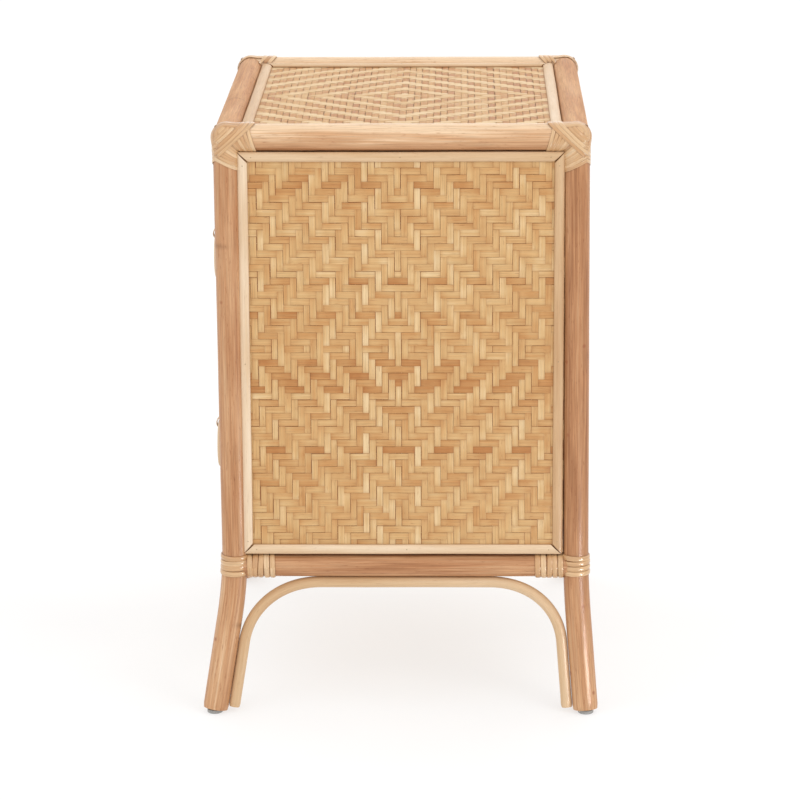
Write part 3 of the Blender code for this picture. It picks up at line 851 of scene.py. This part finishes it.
def corner_field(points):
    """Distance to the three poles that meet in a corner, in its own frame, joined softly.

    The first axis runs inward along X, the second inward along Y, the third is up. The post is
    thinner than the rails and flush with them outside, so its middle stands further out.
    """
    x, y, z = points[:, 0], points[:, 1], points[:, 2]
    outward = TOP_RAIL_R - POST_R
    post = np.sqrt((x + outward) ** 2 + (y + outward) ** 2 + np.maximum(z, 0) ** 2) - POST_R
    along_y = np.sqrt(x**2 + z**2 + np.minimum(y, 0) ** 2) - TOP_RAIL_R
    along_x = np.sqrt(y**2 + z**2 + np.minimum(x, 0) ** 2) - TOP_RAIL_R
    soft = 0.0007
    shares = np.stack([np.exp(-distance / soft) for distance in (post, along_y, along_x)])
    return -soft * np.log(shares.sum(0))


def field_normal(points):
    step = 2e-5
    slopes = []
    for axis in range(3):
        ahead, behind = points.copy(), points.copy()
        ahead[:, axis] += step
        behind[:, axis] -= step
        slopes.append((corner_field(ahead) - corner_field(behind)) / (2 * step))
    return unit(np.stack(slopes, -1))


def march(starts, planes, level, step, count):
    """Follows the curves that planes cut from the corner's surface, one curve from each start."""
    points, trail = starts, []
    for _ in range(count):
        for _ in range(3):
            normal = field_normal(points)
            slope = normal - planes * (normal * planes).sum(-1, keepdims=True)
            size = np.maximum((slope**2).sum(-1, keepdims=True), 0.05)
            points = points - (corner_field(points) - level)[:, None] * slope / size
        trail.append(points)
        points = points + step * unit(np.cross(normal, planes))
    return np.array(trail)


def lay_family(skin, strips, level, ahead, back, rng, mirrored, place, tuck=0.0007):
    """Lays neighbouring peel strips over the corner, each in a plane square to the side face.

    strips holds (y, z, slope in degrees, width) where each strip crosses the face, in mm. ahead and
    back tell for a strip's number and its points which of them lie past the strip's two ends.
    """
    table = np.array(strips, float)
    angle = np.radians(table[:, 2])
    planes = np.stack([np.zeros_like(angle), -np.sin(angle), np.cos(angle)], -1)
    starts = np.stack([np.full(len(table), -17.0), table[:, 0], table[:, 1]], -1) * MM
    ways = [march(starts, planes, level, step, 52) for step in (PEEL_STEP, -PEEL_STEP)]
    for number, (plane, width) in enumerate(zip(planes, table[:, 3] * MM)):
        halves = []
        for way, past in zip(ways, (ahead, back)):
            half = way[:, number]
            ended = np.flatnonzero(past(number, half / MM))
            halves.append(half[: max(2, ended[0]) if len(ended) else len(half)])
        line = np.concatenate([halves[1][::-1], halves[0][1:]])
        normal = field_normal(line)
        reach = np.minimum(np.arange(len(line)), np.arange(len(line))[::-1]) * PEEL_STEP
        sunk = np.clip(1 - reach / 0.0035, 0, 1)
        lift = rng.uniform(-0.00012, 0.00012) - sunk * tuck
        line = line + (lift * np.ones(len(line)))[:, None] * normal
        spread = 1 / np.maximum(np.linalg.norm(np.cross(normal, plane), axis=1), 0.62)
        if mirrored:
            line, normal = line[:, [1, 0, 2]], normal[:, [1, 0, 2]]
        tone = np.clip(rng.normal(0.60, 0.11), 0.38, 0.88)
        wide = width * spread * rng.uniform(0.97, 1.03) * (1 - 0.12 * sunk)
        spots = line * place["flip"] + place["corner"]
        # The tucked ends get painted shade, darkest where they run in under other strips
        strip(skin, spots, normal * place["flip"], wide, PEEL_THICK, rng, tone, shade=0.35 * sunk)


def knuckle(skin, place, level, rng):
    """The closed body under the wraps: the three poles' skin at level, cut off along each pole."""
    bm = bmesh.new()
    bmesh.ops.create_icosphere(bm, subdivisions=5, radius=1.0)
    ways = unit(np.array([vert.co[:] for vert in bm.verts]))
    faces = [[vert.index for vert in face.verts] for face in bm.faces]
    bm.free()
    limits = np.stack(
        [
            KNUCKLE_END_RAIL / np.maximum(ways[:, 0], 1e-6),
            KNUCKLE_SIDE_RAIL / np.maximum(ways[:, 1], 1e-6),
            KNUCKLE_POST / np.maximum(-ways[:, 2], 1e-6),
        ]
    ).min(0)
    near, far = np.full(len(ways), 0.004), np.full(len(ways), 0.060)
    for _ in range(22):
        middle = (near + far) / 2
        inside = corner_field(ways * middle[:, None]) < level
        near, far = np.where(inside, middle, near), np.where(inside, far, middle)
    points = ways * np.minimum(near, limits)[:, None]
    grain = np.stack([points[:, 0], points[:, 1], points[:, 2] + rng.uniform(0, 9)], -1)
    # A light tone with a little painted shade, for the body seen between the strips
    skin.add(points * place["flip"] + place["corner"], faces, grain, 0.56, 0.12)


def past_edge(reach, share=-0.5):
    """Ends odd strips at reach past the post's outer edge, and even ones at that share of it."""
    return lambda number, spot: spot[:, 0] - spot[:, 1] > (reach if number % 2 else share * reach)


def over_strips(count, pitch, base, slope):
    """Parallel strips that start at base and follow each other towards the outer top corner."""
    turn = math.radians(slope)
    strips = []
    for offset in (np.arange(count) + 0.5) * pitch:
        y, z = base[0] - math.sin(turn) * offset, base[1] + math.cos(turn) * offset
        strips.append((y, z, slope, pitch * 1.04))
    return strips


def past_x(reach):
    """Ends a strip at reach inward along X."""
    return lambda number, spot: spot[:, 0] > reach


def under_side_rail(number, spot):
    return spot[:, 2] > -7.5 + 0.92 * spot[:, 1]


def under_end_rail(number, spot):
    return spot[:, 2] + 19.0 > 2.18 * (spot[:, 1] + 11.0)


def behind_post(number, spot):
    return (spot[:, 0] > 3.0) & (spot[:, 2] < 0)


def across_rail(number, spot):
    return (spot[:, 0] > 9.0) & (spot[:, 2] < 9.0)


def make_corner_binding(side_name, side, end_name, end, seed):
    """A joint wrapped in peel: diagonal strips cross over a fan on the rail and turns on the post.

    Places, slopes and widths of the strips are in mm and degrees, in the corner's own frame.
    """
    name = f"corner_binding_{end_name}_{side_name}"
    rng = np.random.default_rng(seed)
    skin = Skin()
    place = {
        "flip": np.array([-side, -end, 1.0]),
        "corner": np.array([side * RAIL_X, end * RAIL_Y + CABINET_Y, RAIL_Z]),
    }
    knuckle(skin, place, 0.0003, rng)
    raised = 2.2 if end < 0 else 0.0
    post_turns = [(0.0, raised - 28.7 + 3.9 * k, -26.0 - 3.0 * k, 3.75) for k in range(7)]
    for mirrored in (False, True):
        lay_family(skin, post_turns, 0.0004, past_x(2.0), past_edge(10.0, 0.6), rng, mirrored, place)
    fan = [(27.0 - 4.0 * k, -2.0, 105.0 + 4.6 * k, 4.1 - 0.14 * k) for k in range(6)]
    lay_family(skin, fan, 0.0005, under_side_rail, behind_post, rng, False, place)
    end_fan = [(11.5 - 3.5 * k, -2.0, 112.0 + 6.0 * k, 3.6) for k in range(3)]
    lay_family(skin, end_fan, 0.0005, under_end_rail, behind_post, rng, True, place)
    tops = over_strips(8, 3.55, (6.6, -6.3), 42.6)
    lay_family(skin, tops[3:], 0.0007, past_x(-7.5), past_edge(5.0), rng, False, place)
    end_tops = over_strips(4, 3.6, (-2.5, -5.5), 65.0)
    lay_family(skin, end_tops, 0.0008, past_x(22.0), past_edge(-2.0), rng, True, place)
    lay_family(skin, tops[:3], 0.0012, across_rail, past_edge(6.0), rng, False, place)
    skin.finish(f"{name}_peel", [name], "peel")


def wind(skin, centre, axis, radius, rng, tilt, drawn=1.0):
    """One turn of peel round a pole, as a closed domed ring that leans a little."""
    axis = unit(np.asarray(axis, float))
    across, lift = crosswise(axis)
    turn = 2 * math.pi * np.arange(56) / 56
    out = np.cos(turn)[:, None] * across + np.sin(turn)[:, None] * lift
    lean = tilt * np.sin(turn + rng.uniform(0, 6))
    path = np.asarray(centre, float) + out * radius + lean[:, None] * axis
    tone = np.clip(rng.normal(0.58, 0.14), 0.25, 0.95)
    drawn = drawn * rng.uniform(0.96, 1.05)
    strip(skin, path, out, TURN_WIDTH * drawn, TURN_THICK * rng.uniform(0.85, 1.1), rng, tone, closed=True)


def make_lower_binding(side_name, side, end_name, end, seed):
    """Four turns round the post and five round each rail."""
    name = f"lower_binding_{end_name}_{side_name}"
    rng = np.random.default_rng(seed)
    skin = Skin()
    pitch = (LOW_BIND_HIGH - LOW_BIND_LOW) / POST_TURNS
    for number in range(POST_TURNS):
        z = LOW_BIND_LOW + (number + 0.5) * pitch
        centre = (*post_centre(side, end, z), z)
        wind(skin, centre, (0, 0, 1), POST_R + 0.0003, rng, 0.0005, pitch / TURN_WIDTH * 1.02)
    x, y = post_centre(side, end, LOW_RAIL_Z)
    for axis, start in (((0, -end, 0), (side * POST_X, y)), ((-side, 0, 0), (x, y))):
        for number in range(RAIL_TURNS):
            reach = POST_R + 0.0028 + number * TURN_WIDTH
            centre = np.array([*start, LOW_RAIL_Z]) + reach * np.array(axis, float)
            wind(skin, centre, axis, LOW_RAIL_R + 0.0003, rng, 0.0005)
    skin.finish(f"{name}_peel", [name], "peel")


def make_bindings():
    for side_name, side, end_name, end in CORNERS:
        seed = 300 + 10 * (side > 0) + (end > 0)
        make_corner_binding(side_name, side, end_name, end, seed)
        make_lower_binding(side_name, side, end_name, end, seed + 50)


# ---------------------------------------------------------------- boards, drawers and feet


def board(node, ease=0.0008):
    """A board with eased, darker edges, whose grain runs along its longest side."""
    low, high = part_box(node)
    size = high - low
    thin, across, along = sorted(range(3), key=lambda axis: size[axis])
    bm = bmesh.new()
    bmesh.ops.create_cube(bm, size=1.0)
    for vert in bm.verts:
        vert.co = Vector(high[axis] if vert.co[axis] > 0 else low[axis] for axis in range(3))
    bmesh.ops.bevel(bm, geom=list(bm.edges), offset=ease, segments=2, profile=0.6, affect="EDGES")
    long_edges = [edge for edge in bm.edges if edge.calc_length() > 0.02]
    bmesh.ops.subdivide_edges(bm, edges=long_edges, cuts=6, use_grid_fill=True)
    points = np.array([vert.co[:] for vert in bm.verts])
    faces = [[vert.index for vert in face.verts] for face in bm.faces]
    bm.free()
    skin = Skin()
    grain = np.stack([points[:, thin], points[:, across], points[:, along]], -1)
    depth = np.minimum(points[:, thin] - low[thin], high[thin] - points[:, thin])
    skin.add(points, faces, grain, tone=np.clip(depth / ease, 0, 1) * 0.8)
    skin.finish(f"{node}_ply", [node], "plywood")


def make_ring(drawer):
    """The pull: a closed ring of bent cane."""
    node = f"{drawer}_pull_ring"
    low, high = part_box(node)
    centre = (low + high) / 2
    turn = 2 * math.pi * np.arange(72) / 72
    path = np.stack(
        [centre.x + RING_R * np.sin(turn), np.full(72, centre.y), centre.z + RING_R * np.cos(turn)], -1
    )
    rng = np.random.default_rng(500 + len(drawer))
    skin = Skin()
    tube(skin, path, RING_TUBE, THIN_POLE_SIDES, (0, 1, 0), rng, 0.5, closed=True, rough=0.0)
    skin.finish(f"{node}_cane", [node], "core")


def make_strap(drawer):
    """Two strands of peel looped through the ring and held by a domed pin."""
    node = f"{drawer}_pull_strap"
    ring_low, ring_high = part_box(f"{drawer}_pull_ring")
    hinge = np.array([0.0, (ring_low.y + ring_high.y) / 2, ring_high.z - RING_TUBE])
    pin = np.array([0.0, -DEPTH / 2 + WEAVE_FACE - 0.0062 + CABINET_Y, hinge[2] + RING_DROP])
    away = pin - hinge
    loop_r, neck_r = RING_TUBE + 0.0013, 0.0016
    lean = math.atan2(away[1], away[2])
    swing = math.acos((loop_r - neck_r) / np.linalg.norm(away))
    first = np.linspace(swing, 2 * math.pi - swing, 40) + lean
    second = np.linspace(-swing, swing, 14) + lean
    turns = np.concatenate([first, second])
    normals = np.stack([np.zeros(54), np.sin(turns), np.cos(turns)], -1)
    path = np.concatenate([hinge + normals[:40] * loop_r, pin + normals[40:] * neck_r])
    rng = np.random.default_rng(520 + len(drawer))
    skin = Skin()
    for across in (-0.00225, 0.00225):
        strip(skin, path + (across, 0, 0), normals, 0.0043, 0.0011, rng, rng.uniform(0.5, 0.7), closed=True)
    skin.finish(f"{node}_peel", [node], "peel")
    head = Skin()
    nail(head, np.array([0.0, pin[1] - neck_r - 0.0010, pin[2]]), np.array([0.0, -1.0, 0.0]), 0.0032)
    head.finish(f"{node}_pin", [node], "nail")


def make_glides():
    turn = 2 * math.pi * np.arange(36) / 36
    ring = np.stack([np.cos(turn), np.sin(turn), np.zeros(36)], -1)
    levels = ((0.30, 0.0009), (0.34, 0.0), (0.90, 0.0), (1.0, 0.0007), (1.0, GLIDE_H))
    for side_name, _, end_name, _ in CORNERS:
        node = f"glide_{end_name}_{side_name}"
        low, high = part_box(node)
        middle = (low + high) / 2
        radius = (high.x - low.x) / 2
        centre = np.array([middle.x, middle.y, 0.0])
        rings = np.stack([centre + ring * radius * share + (0, 0, z) for share, z in levels])
        skin = Skin()
        skin.sweep(rings, rings.copy())
        skin.finish(f"{node}_pad", [node], "glide")


def make_boards():
    for node in frame["nodes"]:
        if "board" in node or node.endswith(("_side", "_drawer_back", "_drawer_bottom", "_drawer_front")):
            board(node)


# ---------------------------------------------------------------- stage


def make_floor():
    size = 6.0
    bm = bmesh.new()
    bmesh.ops.create_grid(bm, x_segments=8, y_segments=8, size=size)
    mesh = bpy.data.meshes.new("floor")
    bm.to_mesh(mesh)
    bm.free()
    made, tree, shader = start_material("pale_floor")
    place = add_node(tree, "ShaderNodeTexCoord").outputs["Object"]
    cloud = add_node(tree, "ShaderNodeTexNoise", {"Vector": place, "Scale": 3.0}).outputs["Fac"]
    colour = ramp(tree, cloud, [(0.3, grey(0.31)), (0.7, grey(0.34))])
    tree.links.new(colour, shader.inputs["Base Color"])
    shader.inputs["Roughness"].default_value = 0.9
    shader.inputs["Specular IOR Level"].default_value = 0.1
    shader.inputs["Emission Color"].default_value = (1.0, 1.0, 1.0, 1.0)
    shader.inputs["Emission Strength"].default_value = 0.66
    mesh.materials.append(made)
    floor = bpy.data.objects.new("floor", mesh)
    bpy.context.scene.collection.objects.link(floor)


def add_light(name, place, target, size, power, colour, gloss_only=False):
    """A soft rectangular light aimed at target. gloss_only keeps it out of all but reflections."""
    data = bpy.data.lights.new(name, "AREA")
    data.shape = "RECTANGLE"
    data.size, data.size_y = size
    data.energy = power
    data.color = colour
    made = bpy.data.objects.new(name, data)
    made.location = place
    made.rotation_euler = (Vector(target) - Vector(place)).to_track_quat("-Z", "Y").to_euler()
    made.visible_diffuse = not gloss_only
    made.visible_camera = not gloss_only
    bpy.context.scene.collection.objects.link(made)


def make_lights():
    world = bpy.data.worlds.new("studio")
    world.use_nodes = True
    tree = world.node_tree
    way = add_node(tree, "ShaderNodeTexCoord").outputs["Generated"]
    height = add_node(tree, "ShaderNodeSeparateXYZ", {0: way}).outputs["Z"]
    sky = ramp(tree, height, [(0.0, grey(1.0)), (0.9, grey(1.15))])
    tree.links.new(sky, tree.nodes["Background"].inputs["Color"])
    bpy.context.scene.world = world
    middle = (0.0, 0.0, 0.35)
    add_light("key", (2.2, 1.9, 2.1), middle, (1.2, 1.2), 18.0, (1.0, 0.985, 0.96))
    add_light("fill", (2.4, -2.4, 1.2), middle, (1.6, 1.6), 6.0, (0.98, 0.99, 1.0))
    add_light("back", (-2.4, 0.4, 1.8), middle, (1.6, 1.2), 6.0, (1.0, 1.0, 1.0))
    foot = (0.24, 0.20, 0.07)
    add_light("leg_gloss", (0.50, 0.43, 0.042), foot, (0.14, 0.08), 1.3, (1.0, 1.0, 1.0), gloss_only=True)


def make_camera():
    """Looks at the right side from slightly above, with the long lens of a product picture."""
    data = bpy.data.cameras.new("camera")
    data.lens = CAMERA_LENS_MM
    data.sensor_width = 36.0
    data.clip_end = 40.0
    made = bpy.data.objects.new("camera", data)
    made.location = CAMERA_PLACE
    aim = Vector(CAMERA_AIM).to_track_quat("-Z", "Y")
    roll = Euler((0.0, 0.0, math.radians(CAMERA_ROLL))).to_quaternion()
    made.rotation_mode = "QUATERNION"
    made.rotation_quaternion = aim @ roll
    bpy.context.scene.collection.objects.link(made)
    bpy.context.scene.camera = made


make_posts()
make_rails()
make_arches()
make_panels()
make_bindings()
make_boards()
for drawer in ("lower", "upper"):
    make_ring(drawer)
    make_strap(drawer)
make_glides()
make_floor()
make_lights()
make_camera()
bpy.context.scene.view_settings.view_transform = "Standard"
